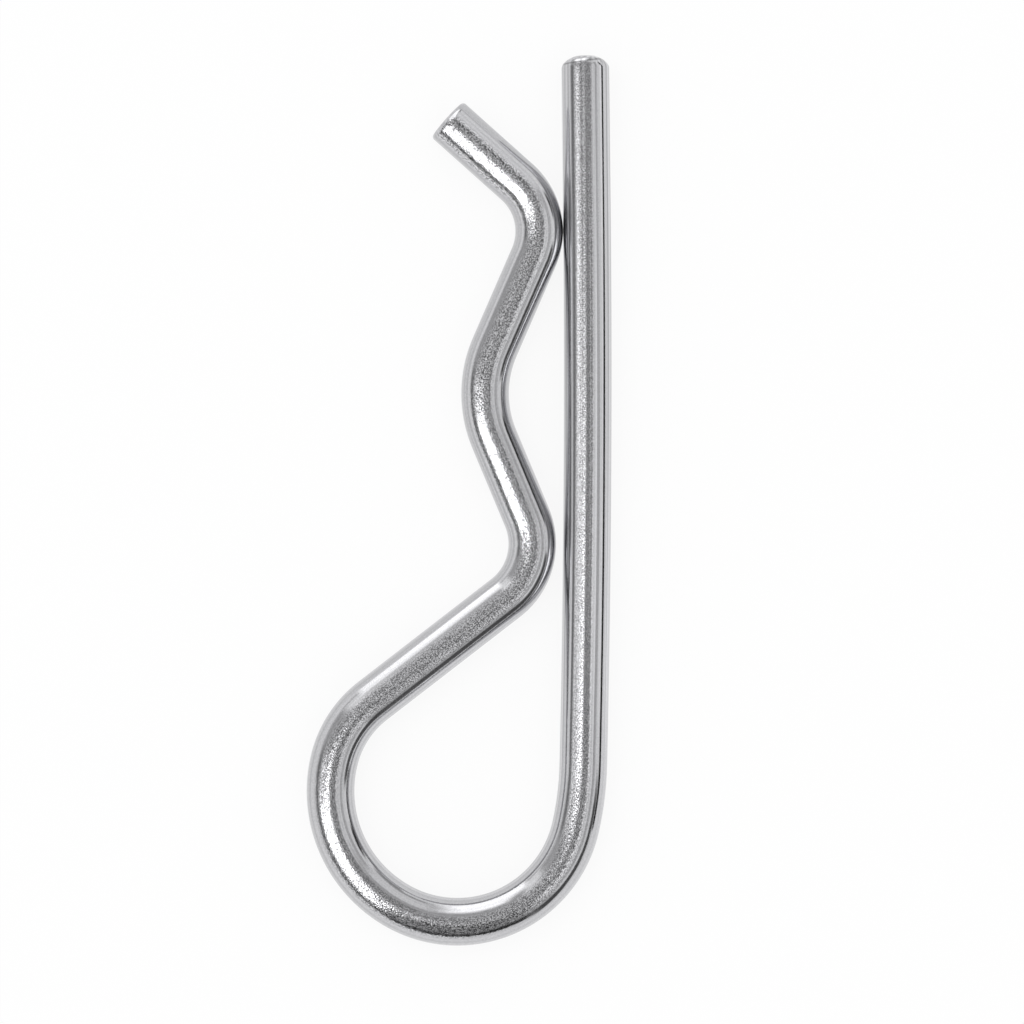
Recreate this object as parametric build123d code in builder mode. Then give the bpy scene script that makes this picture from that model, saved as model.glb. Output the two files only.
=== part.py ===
from build123d import *

import math
import os

# R clip of round spring wire, lying flat: the straight leg runs along Y with its guide tip at +Y,
# the sprung arm is on the -X side, and the origin is under the middle of the footprint.
# Millimetres and degrees. Bend radii are inside radii, as a bending tool has them.

# Wire
wire_diameter = 4.0

# Straight leg, which the sprung arm bows a little
leg_bow_radius = 1430.0
guide_tip_length = 10.2
guide_tip_dome = 1.1
tip_past_nose = 14.9

# Loop, in the order that the wire turns from the leg to the arm
loop_entry_radius = 24.5
loop_entry_turn = 11.5
loop_crown_radius = 8.1
loop_crown_turn = 106.0
loop_side_radius = 9.0
loop_exit_radius = 6.8
loop_exit_turn = 38.0

# Sprung arm: bend radii, clear gaps to the straight leg, and slopes of the runs to that leg
loop_to_throat_slope = 51.0
throat_radius = 3.7
throat_gap = 0.55
throat_to_seat_slope = 24.0
seat_radius = 7.8
seat_gap = 4.55
seat_to_nose_slope = 22.0
nose_radius = 3.5
nose_gap = 0.05

# Lead-in end of the arm
lead_in_slope = 49.5
lead_in_length = 7.95
lead_in_crown = 0.15
lead_in_edge_radius = 0.35

# The wire is laid out from the foot of the leg, where the loop starts and the leg rises along Y.
wire_radius = wire_diameter / 2
foot = Vector(0, 0)
bow_centre = foot - Vector(leg_bow_radius, 0)
left = 1
right = -1


def bend(before, inside_radius, turn):
    """Bend on from the end of an edge, to the left where the turn is positive."""
    return JernArc(before @ 1, before % 1, inside_radius + wire_radius, turn)


def run_to_bend(before, inside_radius, side, gap):
    """Straight run on from an edge, as long as brings the next bend's crest to its gap from the leg."""
    start = before @ 1
    direction = before % 1
    bend_radius = inside_radius + wire_radius
    bend_centre = start + direction.rotate(Axis.Z, 90) * side * bend_radius
    reach = leg_bow_radius - wire_diameter - gap - side * bend_radius
    offset = bend_centre - bow_centre
    along = offset.dot(direction)
    half_chord = math.sqrt(along**2 - offset.length**2 + reach**2)
    return Line(start, start + direction * (math.copysign(half_chord, along) - along))


# The turns of the loop add up to half a turn and the slope at which the arm leaves it.
loop_side_turn = 180 + loop_to_throat_slope - loop_entry_turn - loop_crown_turn - loop_exit_turn

with BuildLine() as bent_arm:
    loop_entry = JernArc(foot, (0, -1), loop_entry_radius + wire_radius, -loop_entry_turn)
    loop_crown = bend(loop_entry, loop_crown_radius, -loop_crown_turn)
    loop_side = bend(loop_crown, loop_side_radius, -loop_side_turn)
    loop_exit = bend(loop_side, loop_exit_radius, -loop_exit_turn)
    arm_rise = run_to_bend(loop_exit, throat_radius, left, throat_gap)
    throat = bend(arm_rise, throat_radius, loop_to_throat_slope + throat_to_seat_slope)
    seat_run = run_to_bend(throat, seat_radius, right, seat_gap)
    seat = bend(seat_run, seat_radius, -throat_to_seat_slope - seat_to_nose_slope)
    nose_run = run_to_bend(seat, nose_radius, left, nose_gap)
    nose = bend(nose_run, nose_radius, seat_to_nose_slope + lead_in_slope)

    lead_in = PolarLine(nose @ 1, lead_in_length - wire_radius, direction=nose % 1)

# The bow of the leg ends where the guide tip runs straight on.
bow_height = nose.arc_center.Y + tip_past_nose - guide_tip_dome - guide_tip_length
bow_turn = math.degrees(math.asin(bow_height / leg_bow_radius))

with BuildLine() as bowed_leg:
    leg_bow = JernArc(foot, (0, 1), leg_bow_radius, bow_turn)
    guide_tip = PolarLine(leg_bow @ 1, guide_tip_length, direction=leg_bow % 1)


def end_plane(before):
    """Plane for the half profile of an end, with its Y along the axis of the wire."""
    return Plane(before @ 1, x_dir=(before % 1).rotate(Axis.Z, -90), z_dir=(0, 0, 1))


with BuildPart() as bent_wire:
    # The whole wire but for the shapes of its two ends
    with BuildSketch(Plane(guide_tip @ 1, z_dir=guide_tip % 1)):
        Circle(wire_radius)
    sweep(path=bowed_leg.edges() + bent_arm.edges())

    # Elliptical dome on the guide tip
    with BuildSketch(end_plane(guide_tip)):
        with BuildLine():
            dome = EllipticalCenterArc((0, 0), wire_radius, guide_tip_dome, arc_size=90)
            Polyline(dome @ 1, (0, 0), dome @ 0)
        make_face()
    revolve(axis=Axis(guide_tip @ 1, guide_tip % 1))

    # Lead-in end, cut off nearly flat and with the edge of the cut rounded
    with BuildSketch(end_plane(lead_in)):
        with BuildLine():
            rim_height = wire_radius - lead_in_crown
            crown = ThreePointArc(
                (wire_radius, rim_height), (0, wire_radius), (-wire_radius, rim_height)
            )
            Polyline(crown @ 1, (-wire_radius, 0), (wire_radius, 0), crown @ 0)
        make_face()
        split(bisect_by=Plane.YZ)
        fillet(vertices().group_by(Axis.X)[-1].sort_by(Axis.Y)[-1], lead_in_edge_radius)
    revolve(axis=Axis(lead_in @ 1, lead_in % 1))

# The guide tip is turned to run along Y, and the clip is set down on Z = 0.
turned = bent_wire.part.rotate(Axis.Z, -bow_turn)
footprint = turned.bounding_box()

with BuildPart() as r_clip:
    with Locations((-footprint.center().X, -footprint.center().Y, -footprint.min.Z)):
        add(turned)

r_clip.part.label = "r_clip"

os.makedirs("parts", exist_ok=True)
export_step(r_clip.part, "parts/r_clip.step")
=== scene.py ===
import math

import bpy
import numpy as np
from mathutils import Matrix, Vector


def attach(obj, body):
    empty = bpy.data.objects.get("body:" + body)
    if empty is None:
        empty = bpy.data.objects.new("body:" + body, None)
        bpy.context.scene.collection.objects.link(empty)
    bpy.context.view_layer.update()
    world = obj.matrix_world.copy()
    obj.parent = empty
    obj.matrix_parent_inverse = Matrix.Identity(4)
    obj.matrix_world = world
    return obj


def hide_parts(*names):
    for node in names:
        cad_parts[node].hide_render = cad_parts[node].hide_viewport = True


# R clip of steel spring wire, lying flat on a pale studio floor and seen from straight above.
# The scene is in metres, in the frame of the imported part. Sizes of the wire are in millimetres.
MM = 0.001

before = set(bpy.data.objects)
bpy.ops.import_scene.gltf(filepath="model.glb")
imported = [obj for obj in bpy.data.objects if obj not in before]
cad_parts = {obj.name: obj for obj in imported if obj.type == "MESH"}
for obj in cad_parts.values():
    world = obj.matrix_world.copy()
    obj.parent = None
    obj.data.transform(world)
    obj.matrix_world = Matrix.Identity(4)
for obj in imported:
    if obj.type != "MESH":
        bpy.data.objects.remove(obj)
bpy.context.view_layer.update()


# ---- Small helpers ----


def new_mesh(name, places, faces):
    mesh = bpy.data.meshes.new(name)
    mesh.from_pydata(places, [], faces)
    return mesh


def new_object(name, data):
    made = bpy.data.objects.new(name, data)
    bpy.context.scene.collection.objects.link(made)
    return made


def new_material(name):
    """An empty node material, its nodes and a function that joins two sockets."""
    material = bpy.data.materials.new(name)
    material.use_nodes = True
    tree = material.node_tree
    tree.nodes.clear()
    return material, tree.nodes, tree.links.new


def times(nodes, join, value, factor):
    node = nodes.new("ShaderNodeMath")
    node.operation = "MULTIPLY"
    node.inputs[1].default_value = factor
    join(value, node.inputs[0])
    return node.outputs["Value"]


def mixed(nodes, join, share, first, second):
    """A shader that goes from the first to the second as the share goes from 0 to 1."""
    mix = nodes.new("ShaderNodeMixShader")
    join(share, mix.inputs["Fac"])
    join(first, mix.inputs[1])
    join(second, mix.inputs[2])
    return mix.outputs["Shader"]


# ---- Wire ----

# Its middle line from the guide tip down the leg, round the loop and up the arm.
# A run is its length; a bend is its radius and its turn in degrees, to the left where positive.
# The nose touches the leg, so the seat and the nose turn 0.25 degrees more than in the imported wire.
wire_radius = 2.0
guide_tip_end = (10.9438, 35.9298)
first_heading = -90.0
wire_path = [
    ("guide_tip", 10.2),
    ("leg_bow", 1430.0, -1.91315),
    ("loop_entry", 26.5, -11.5),
    ("loop_crown", 10.1, -106.0),
    ("loop_side", 11.0, -75.5),
    ("loop_exit", 8.8, -38.0),
    ("arm_rise", 14.047),
    ("throat", 5.7, 75.0),
    ("seat_run", 7.075),
    ("seat", 9.8, -46.25),
    ("nose_run", 8.098),
    ("nose", 5.5, 71.75),
    ("lead_in", 7.495),
]

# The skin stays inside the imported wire, whose facets cut its round a little.
skin_radius = wire_radius - 0.006

# Guide tip: a dome that is an ellipse seen from above, and fuller seen from the side
dome_height = 1.1
dome_fullness = 2.0
dome_fullness_from_side = 3.5

# Lead-in end: cut off nearly flat, with a rounded edge that is softer on top and below
cut_edge_radius = 0.35
cut_edge_radius_on_top = 0.65
cut_crown_radius = 13.408

# Fineness of the wire's mesh
points_round_wire = 96
longest_step = 0.8
widest_bend_step = 2.5
dome_steps = 32
edge_steps = 10
crown_steps = 8


def traced_path():
    """Middle point, heading and length so far, all along the wire."""
    x, y = guide_tip_end
    heading = math.radians(first_heading)
    along = 0.0
    rows = [(x, y, heading, along)]
    for name, size, *turns in wire_path:
        if turns:
            turn = math.radians(turns[0])
            side = math.copysign(1, turn)
            length = size * abs(turn)
            steps = math.ceil(max(abs(turns[0]) / widest_bend_step, length / longest_step))
            middle_x = x - side * size * math.sin(heading)
            middle_y = y + side * size * math.cos(heading)
            for k in range(1, steps + 1):
                h = heading + turn * k / steps
                at = (middle_x + side * size * math.sin(h), middle_y - side * size * math.cos(h))
                rows.append((*at, h, along + length * k / steps))
        else:
            steps = math.ceil(size / longest_step)
            for k in range(1, steps + 1):
                d = size * k / steps
                at = (x + d * math.cos(heading), y + d * math.sin(heading))
                rows.append((*at, heading, along + d))
        x, y, heading, along = rows[-1]
    return rows


def dome_rings(turn):
    """Radius and height of the dome's rings, round the wire, from its rim up."""
    fullness = dome_fullness + (dome_fullness_from_side - dome_fullness) * np.sin(turn) ** 2
    rings = []
    for k in range(1, dome_steps):
        a = math.pi / 2 * k / dome_steps
        radius = skin_radius * math.cos(a) ** (2 / fullness)
        rings.append((radius, dome_height * math.sin(a) ** (2 / fullness)))
    return rings


def cut_rings(turn):
    """Radius and height of the cut end's rings, round the wire, and the height of its middle.

    They go from the start of the rounded edge to near the middle.
    """
    edge = cut_edge_radius + (cut_edge_radius_on_top - cut_edge_radius) * np.sin(turn) ** 2
    edge_middle = skin_radius - edge
    crown_below = np.sqrt((cut_crown_radius - edge) ** 2 - edge_middle**2)
    lean = np.arcsin(edge_middle / (cut_crown_radius - edge))
    middle_height = cut_crown_radius - crown_below.max()
    start = middle_height - (cut_crown_radius - crown_below)
    rings = []
    for k in range(edge_steps + 1):
        a = (math.pi / 2 - lean) * k / edge_steps
        rings.append((edge_middle + edge * np.cos(a), start + edge * np.sin(a)))
    for k in range(1, crown_steps):
        a = lean * (1 - k / crown_steps)
        below = start - crown_below
        rings.append((cut_crown_radius * np.sin(a), below + cut_crown_radius * np.cos(a)))
    return rings, middle_height


def wire_mesh(name):
    """The whole wire as one closed skin, with its straightened shape as an attribute."""
    n = points_round_wire
    turn = np.arange(n) * 2 * math.pi / n

    # Each ring is a place on the path, its radii and how far it lies beyond that place.
    # The path's last ring makes way for the first ring of the cut end's rounded edge.
    path = traced_path()
    end_rings, end_height = cut_rings(turn)
    rings = [(place, np.full(n, skin_radius), np.zeros(n)) for place in path[:-1]]
    for radius, height in dome_rings(turn):
        rings.insert(0, (path[0], radius, -height))
    for radius, height in end_rings:
        rings.append((path[-1], radius, height))

    x, y, h, s = [column[:, None] for column in np.array([ring[0] for ring in rings]).T]
    radius = np.array([ring[1] for ring in rings])
    forward = np.array([ring[2] for ring in rings])
    across, up = radius * np.cos(turn), radius * np.sin(turn)
    placed_x = x + forward * np.cos(h) - across * np.sin(h)
    placed_y = y + forward * np.sin(h) + across * np.cos(h)
    placed = np.stack((placed_x, placed_y, wire_radius + up), axis=-1).reshape(-1, 3)
    straight = np.stack((across, up, s + forward), axis=-1).reshape(-1, 3)
    for (px, py, ph, ps), height in ((path[0], -dome_height), (path[-1], end_height)):
        tip = (px + height * math.cos(ph), py + height * math.sin(ph), wire_radius)
        placed = np.vstack((placed, tip))
        straight = np.vstack((straight, (0, 0, ps + height)))

    count = len(rings)
    faces = []
    for i in range(count - 1):
        for j in range(n):
            k = (j + 1) % n
            faces.append((i * n + j, i * n + k, (i + 1) * n + k, (i + 1) * n + j))
    start, end, last = count * n, count * n + 1, (count - 1) * n
    for j in range(n):
        k = (j + 1) % n
        faces.append((start, k, j))
        faces.append((end, last + j, last + k))

    mesh = new_mesh(name, (placed * MM).tolist(), faces)
    mesh.shade_smooth()
    straightened = mesh.attributes.new("straightened", "FLOAT_VECTOR", "POINT")
    straightened.data.foreach_set("vector", straight.astype(np.float32).ravel())
    return mesh


# ---- Steel ----

# Bright drawn steel: its two tints, and its least and most roughness
steel_colour = (0.545, 0.545, 0.56, 1)
steel_worn_colour = (0.51, 0.51, 0.525, 1)
steel_roughness = (0.08, 0.12)

# Patterns on the straightened wire: how fine they are per millimetre, how detailed, and how much
# they are squeezed along the wire, where less than 1 draws them out. Pattern limits are the low
# and high values that most of a pattern lies between.
grain_and_painted_sparkle_pattern = (12.0, 0.0, 0.7)
line_pattern = (5.5, 1.0, 0.004)
streak_pattern = (3.6, 1.0, 0.004)
wave_pattern = (0.22, 1.0, 1.0)
tint_pattern = (1.1, 4.0, 1.0)
roughness_pattern = (2.3, 3.0, 0.3)
pattern_limits = (0.3, 0.7)
grain_depth = 0.0075 * MM
line_depth = 0.0016 * MM
wave_depth = 0.008 * MM

# Distances along the wire at which the leg's look turns into that of the bends, and theirs into
# that of the lead-in
leg_to_bends = (52.0, 62.0)
bends_to_lead_in = (149.0, 155.0)

# The grain relief and the painted sparkle lie where the steel faces the given side, nearly straight
# up; the light and dark speckles painted into the colour there are painted glints and shade of the
# reflections. Its reach is the cosines of the angles from that side at which it starts and at which
# it is full, and it reaches further on the lead-in.
grain_and_painted_sparkle_side = (-0.16, -0.235, 0.959)
grain_and_painted_sparkle_reach = (0.855, 0.97)
grain_and_painted_sparkle_least = 0.1
grain_and_painted_sparkle_wider_on_lead_in = 0.08
grain_and_painted_sparkle_of_leg_and_bends = (0.7, 1.3)
# How strongly the speckles are painted lighter and darker: painted glints and shade, besides the
# grain
grain_and_painted_sparkle_shade = 0.6
# How strongly the lengthwise streaks are painted on the leg and on the bends: partly the wire's draw
# lines, partly painted reflection lines
streak_shade_of_leg_and_bends = (0.35, 0.15)

# Faint dark ring painted round the guide tip, where its dome starts: a painted dark reflection line
ring_height = 0.58
ring_lean = 0.125
ring_width = 0.11
painted_ring_shade = 0.5


def steel():
    material, nodes, join = new_material("wire_steel")
    out = nodes.new("ShaderNodeOutputMaterial")
    metal = nodes.new("ShaderNodeBsdfPrincipled")
    metal.inputs["Metallic"].default_value = 1.0
    join(metal.outputs["BSDF"], out.inputs["Surface"])
    place = nodes.new("ShaderNodeAttribute")
    place.attribute_name = "straightened"

    def noise(scale, detail, squeeze):
        squeezed = nodes.new("ShaderNodeMapping")
        squeezed.inputs["Scale"].default_value = (1, 1, squeeze)
        texture = nodes.new("ShaderNodeTexNoise")
        texture.inputs["Scale"].default_value = scale
        texture.inputs["Detail"].default_value = detail
        join(place.outputs["Vector"], squeezed.inputs["Vector"])
        join(squeezed.outputs["Vector"], texture.inputs["Vector"])
        return texture.outputs[0]

    def bump(height, depth, before=None):
        node = nodes.new("ShaderNodeBump")
        node.inputs["Strength"].default_value = 1.0
        node.inputs["Distance"].default_value = depth
        join(height, node.inputs["Height"])
        if before is not None:
            join(before, node.inputs["Normal"])
        return node.outputs["Normal"]

    def spread(value, low, high, to_low, to_high):
        node = nodes.new("ShaderNodeMapRange")
        node.inputs["From Min"].default_value, node.inputs["From Max"].default_value = low, high
        node.inputs["To Min"].default_value, node.inputs["To Max"].default_value = to_low, to_high
        join(value, node.inputs["Value"])
        return node.outputs["Result"]

    def maths(operation, first, second=None, third=None):
        node = nodes.new("ShaderNodeMath")
        node.operation = operation
        for socket, value in zip(node.inputs, (first, second, third)):
            if isinstance(value, float):
                socket.default_value = value
            elif value is not None:
                join(value, socket)
        return node.outputs["Value"]

    separated = nodes.new("ShaderNodeSeparateXYZ")
    join(place.outputs["Vector"], separated.inputs["Vector"])
    across, _, along = separated.outputs

    # How strong the grain relief and the painted sparkle are at each place, by which way the steel
    # faces
    facing = nodes.new("ShaderNodeVectorMath")
    facing.operation = "DOT_PRODUCT"
    facing.inputs[1].default_value = grain_and_painted_sparkle_side
    join(nodes.new("ShaderNodeTexCoord").outputs["Normal"], facing.inputs[0])
    wider = spread(along, *bends_to_lead_in, 0.0, grain_and_painted_sparkle_wider_on_lead_in)
    sparkle_and_grain_zone = spread(maths("ADD", facing.outputs["Value"], wider), *grain_and_painted_sparkle_reach, grain_and_painted_sparkle_least, 1.0)
    sparkle_and_grain_zone = maths("MULTIPLY", sparkle_and_grain_zone, spread(along, *leg_to_bends, *grain_and_painted_sparkle_of_leg_and_bends))

    # Relief: waves, draw lines and grain
    speckles = noise(*grain_and_painted_sparkle_pattern)
    normal = bump(noise(*wave_pattern), wave_depth)
    normal = bump(noise(*line_pattern), line_depth, normal)
    normal = bump(maths("MULTIPLY", speckles, sparkle_and_grain_zone), grain_depth, normal)
    join(normal, metal.inputs["Normal"])

    # Shade: grain speckles with painted sparkle, lengthwise streaks that are partly painted
    # reflection lines, and the painted dark ring round the guide tip
    # Speckles painted lighter and darker where the steel faces up: painted glints and shade, besides
    # the grain
    speckle_shade_with_painted_sparkle = spread(speckles, *pattern_limits, -grain_and_painted_sparkle_shade, grain_and_painted_sparkle_shade)
    speckle_shade_with_painted_sparkle = maths("MULTIPLY_ADD", speckle_shade_with_painted_sparkle, sparkle_and_grain_zone, 1.0)
    # Lengthwise streaks painted into the colour, stronger on the leg: partly draw lines, partly
    # painted reflection lines
    streaks = spread(noise(*streak_pattern), *pattern_limits, -1.0, 1.0)
    streak_shade = spread(along, *leg_to_bends, *streak_shade_of_leg_and_bends)
    streaks = maths("MULTIPLY_ADD", streaks, streak_shade, 1.0)
    # The painted dark ring round the dome's start: a painted reflection line, darkened into the
    # colour
    height = maths("MULTIPLY_ADD", across, ring_lean, ring_height)
    from_ring = maths("ABSOLUTE", maths("ADD", along, height))
    ring = spread(from_ring, 0.0, ring_width, painted_ring_shade, 1.0)
    shade = maths("MULTIPLY", speckle_shade_with_painted_sparkle, maths("MULTIPLY", streaks, ring))

    tint = nodes.new("ShaderNodeMix")
    tint.data_type = "RGBA"
    tint.inputs["A"].default_value = steel_colour
    tint.inputs["B"].default_value = steel_worn_colour
    join(noise(*tint_pattern), tint.inputs["Factor"])
    shaded = nodes.new("ShaderNodeVectorMath")
    shaded.operation = "SCALE"
    join(tint.outputs["Result"], shaded.inputs["Vector"])
    join(shade, shaded.inputs["Scale"])
    join(shaded.outputs["Vector"], metal.inputs["Base Color"])

    roughness = spread(noise(*roughness_pattern), 0.0, 1.0, *steel_roughness)
    join(roughness, metal.inputs["Roughness"])
    return material


clip = new_object("clip_wire", wire_mesh("clip_wire"))
clip.data.materials.append(steel())
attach(clip, "root")
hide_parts("r_clip")


# ---- Floor and surroundings ----

floor_size = 6.0
floor_colour = (0.95, 0.95, 0.95, 1)
floor_glow = 0.88
world_light = 0.95
world_white = 1.0


def seen_directly(nodes, join):
    """1 for rays from the camera, a mirror or glass, and 0 for the light that falls on things."""
    path = nodes.new("ShaderNodeLightPath")
    total = path.outputs["Is Camera Ray"]
    for name in ("Is Glossy Ray", "Is Transmission Ray"):
        larger = nodes.new("ShaderNodeMath")
        larger.operation = "MAXIMUM"
        join(total, larger.inputs[0])
        join(path.outputs[name], larger.inputs[1])
        total = larger.outputs["Value"]
    return total


def floor_material():
    """Pale matt floor that looks nearly white where it is seen, and keeps the clip's shadow."""
    material, nodes, join = new_material("floor_white")
    out = nodes.new("ShaderNodeOutputMaterial")
    matt = nodes.new("ShaderNodeBsdfDiffuse")
    matt.inputs["Color"].default_value = floor_colour
    glow = nodes.new("ShaderNodeEmission")
    share = times(nodes, join, seen_directly(nodes, join), floor_glow)
    shader = mixed(nodes, join, share, matt.outputs["BSDF"], glow.outputs["Emission"])
    join(shader, out.inputs["Surface"])
    return material


half = floor_size / 2
floor_corners = [(-half, -half, 0), (half, -half, 0), (half, half, 0), (-half, half, 0)]
floor = new_object("floor", new_mesh("floor", floor_corners, [(0, 1, 2, 3)]))
floor.data.materials.append(floor_material())


def new_world():
    """Even white surroundings, a little less bright as light than where they are seen."""
    world = bpy.data.worlds.new("studio")
    world.use_nodes = True
    nodes, join = world.node_tree.nodes, world.node_tree.links.new
    nodes.clear()
    out = nodes.new("ShaderNodeOutputWorld")
    lights = []
    for strength in (world_light, world_white):
        light = nodes.new("ShaderNodeBackground")
        light.inputs["Color"].default_value = (1, 1, 1, 1)
        light.inputs["Strength"].default_value = strength
        lights.append(light.outputs["Background"])
    join(mixed(nodes, join, seen_directly(nodes, join), *lights), out.inputs["Surface"])
    return world


bpy.context.scene.world = new_world()


# ---- Cards and boards that only the steel mirrors ----

# Cards glow, and are matt with a share of their brightness. Each is nearer than the one before.
matt_share = 0.25
tent_radius = 1.3
card_gap = 0.01
card_rows = 40
degrees_per_column = 2
hard_edge = 0.1
spots_per_metre = 26.0
spot_detail = 1.0
spot_limits = (0.42, 0.6)
cards = []


def only_mirrored(made):
    made.visible_camera = False
    made.visible_diffuse = False
    made.visible_shadow = False


def card_material(name, level, spots):
    """Matt card that glows, evenly or in spots, and is let through where its edge fades out."""
    material, nodes, join = new_material(name)
    material.cycles.emission_sampling = "NONE"
    out = nodes.new("ShaderNodeOutputMaterial")
    glow = nodes.new("ShaderNodeEmission")
    glow.inputs["Strength"].default_value = 1 - matt_share
    matt = nodes.new("ShaderNodeBsdfDiffuse")
    both = nodes.new("ShaderNodeAddShader")
    join(glow.outputs["Emission"], both.inputs[0])
    join(matt.outputs["BSDF"], both.inputs[1])
    clear = nodes.new("ShaderNodeBsdfTransparent")
    cover = nodes.new("ShaderNodeAttribute")
    cover.attribute_name = "cover"
    shaders = clear.outputs["BSDF"], both.outputs["Shader"]
    join(mixed(nodes, join, cover.outputs["Fac"], *shaders), out.inputs["Surface"])
    if spots is None:
        paint = level * matt_share
        glow.inputs["Color"].default_value = (level, level, level, 1)
        matt.inputs["Color"].default_value = (paint, paint, paint, 1)
    else:
        place = nodes.new("ShaderNodeTexCoord")
        texture = nodes.new("ShaderNodeTexNoise")
        texture.inputs["Scale"].default_value = spots_per_metre
        texture.inputs["Detail"].default_value = spot_detail
        spotted = nodes.new("ShaderNodeMapRange")
        spotted.interpolation_type = "SMOOTHSTEP"
        spotted.inputs["From Min"].default_value = spot_limits[0]
        spotted.inputs["From Max"].default_value = spot_limits[1]
        spotted.inputs["To Min"].default_value = level
        spotted.inputs["To Max"].default_value = spots
        join(place.outputs["Object"], texture.inputs["Vector"])
        join(texture.outputs[0], spotted.inputs["Value"])
        join(spotted.outputs["Result"], glow.inputs["Color"])
        paint = times(nodes, join, spotted.outputs["Result"], matt_share)
        join(paint, matt.inputs["Color"])
    return material


def card(name, level, azimuth, top, bottom, fade, spots=None):
    """A curved card round the clip.

    Level is its brightness, and spots is that of its spots. Azimuth is (from, to) in degrees,
    from +X towards +Y. Top and bottom are degrees down from straight up, at the card's two ends.
    Fade is the soft width, in degrees, of its start, end, top and bottom.
    """
    radius = tent_radius - card_gap * len(cards)
    first, last = azimuth
    fade_first, fade_last, fade_top, fade_bottom = fade
    columns = int((last - first) / degrees_per_column)
    places, covers, faces = [], [], []
    for i in range(columns + 1):
        share = i / columns
        a = first + (last - first) * share
        high = top[0] + (top[1] - top[0]) * share
        low = bottom[0] + (bottom[1] - bottom[0]) * share
        for j in range(card_rows + 1):
            p = high + (low - high) * j / card_rows
            sideways = min((a - first) / fade_first, (last - a) / fade_last)
            inside = min(sideways, (p - high) / fade_top, (low - p) / fade_bottom, 1.0)
            covers.append(inside * inside * (3 - 2 * inside))
            around, down = math.radians(a), math.radians(p)
            x = radius * math.sin(down) * math.cos(around)
            y = radius * math.sin(down) * math.sin(around)
            places.append((x, y, radius * math.cos(down) + wire_radius * MM))
    for i in range(columns):
        for j in range(card_rows):
            k = i * (card_rows + 1) + j
            faces.append((k, k + 1, k + card_rows + 2, k + card_rows + 1))
    mesh = new_mesh(name, places, faces)
    mesh.attributes.new("cover", "FLOAT", "POINT").data.foreach_set("value", covers)
    made = new_object(name, mesh)
    made.data.materials.append(card_material(name, level, spots))
    only_mirrored(made)
    cards.append(made)


card("tent", 0.55, (-180, 180), (0, 0), (84, 84), (hard_edge, hard_edge, hard_edge, 11))
card("overhead", 0.12, (-70, 75), (0, 0), (27, 27), (10, 12, hard_edge, 5), spots=0.72)
card("right_panel", 0.95, (-62, 42), (21, 24), (47, 50), (14, 30, 6, 4))
card("right_dip", 0.68, (-62, 42), (46, 50), (56, 60), (8, 30, 4, 4))
card("right_low_panel", 1.0, (-50, 60), (54, 60), (80, 92), (8, 20, 3, 2))
card("right_high_panel", 0.95, (30, 80), (32, 32), (70, 72), (10, 10, 6, 4))
card("horizon_high", 0.38, (34, 74), (70, 72), (90, 90), (10, 6, 4, 4))
card("back_left_panel", 1.15, (128, 146), (24, 24), (77, 77), (4, 6, 10, 8))
card("dark_flag", 0.03, (236, 304), (12, 18), (78, 78), (3, 14, 10, 2), spots=0.6)
card("horizon_right", 0.0, (-8, 16), (81, 81), (91, 91), (6, 6, 3, hard_edge))
card("horizon_right_back", 0.05, (10, 34), (75, 68), (91, 80), (6, 8, 2, 2))
card("horizon_low_right", 0.1, (296, 356), (62, 66), (88, 83), (10, 8, 4, 5))
card("horizon_low", 0.04, (236, 304), (60, 60), (76, 80), (4, 8, 8, 3))
card("horizon_left", 0.27, (160, 240), (60, 60), (76, 78), (14, 3, 4, 5))
card("softbox_left", 3.0, (184, 236.5), (5, 5), (55, 55), (8, 0.5, 8, 4))
card("softbox_left_spill", 0.6, (165, 192), (10, 8), (54, 56), (12, 4, 6, 6), spots=1.9)
card("softbox_back", 1.9, (72, 126), (34, 31), (90, 90), (22, 14, 22, 3))
card("softbox_back_left", 1.9, (108, 133), (42, 44), (90, 90), (12, 3, 24, 3))


def board(name, level, start, end, height):
    """An upright glowing board on the floor, from start to end, in millimetres."""
    corners = [(*start, 0), (*end, 0), (*end, height), (*start, height)]
    places = [[c * MM for c in corner] for corner in corners]
    made = new_object(name, new_mesh(name, places, [(0, 1, 2, 3)]))
    material, nodes, join = new_material(name)
    material.cycles.emission_sampling = "NONE"
    out = nodes.new("ShaderNodeOutputMaterial")
    glow = nodes.new("ShaderNodeEmission")
    glow.inputs["Color"].default_value = (level, level, level, 1)
    join(glow.outputs["Emission"], out.inputs["Surface"])
    made.data.materials.append(material)
    only_mirrored(made)


# Both stand outside the picture, to the right of the leg and beyond the guide tip.
board("black_board", 0.01, (75, -45), (75, 45), 12)
board("white_board", 0.95, (58, 65), (32, 83), 26)


# ---- Lamp ----

lamp_power = 0.6
lamp_size = 0.5
lamp_place = (-0.35, 0.2, 0.8)

lamp_data = bpy.data.lights.new("lamp", "AREA")
lamp_data.size = lamp_size
lamp_data.energy = lamp_power
lamp = new_object("lamp", lamp_data)
lamp.location = lamp_place
lamp.rotation_euler = (-Vector(lamp_place)).to_track_quat("-Z", "Y").to_euler()
lamp.visible_glossy = False
lamp.visible_camera = False


# ---- Camera ----

# It looks straight down on the clip, turned a little about the vertical. The view is as wide as
# view_width at the height of the wire's middle.
camera_height = 600 * MM
camera_over = (4.43 * MM, -0.94 * MM)
camera_turn = -0.623
camera_clip = (0.01, 10)
view_width = 85.33 * MM

camera_data = bpy.data.cameras.new("camera")
camera_data.angle = 2 * math.atan(view_width / 2 / (camera_height - wire_radius * MM))
camera_data.clip_start, camera_data.clip_end = camera_clip
camera = new_object("camera", camera_data)
camera.location = (*camera_over, camera_height)
camera.rotation_euler = (0, 0, math.radians(camera_turn))

scene = bpy.context.scene
scene.camera = camera
scene.view_settings.view_transform = "Standard"
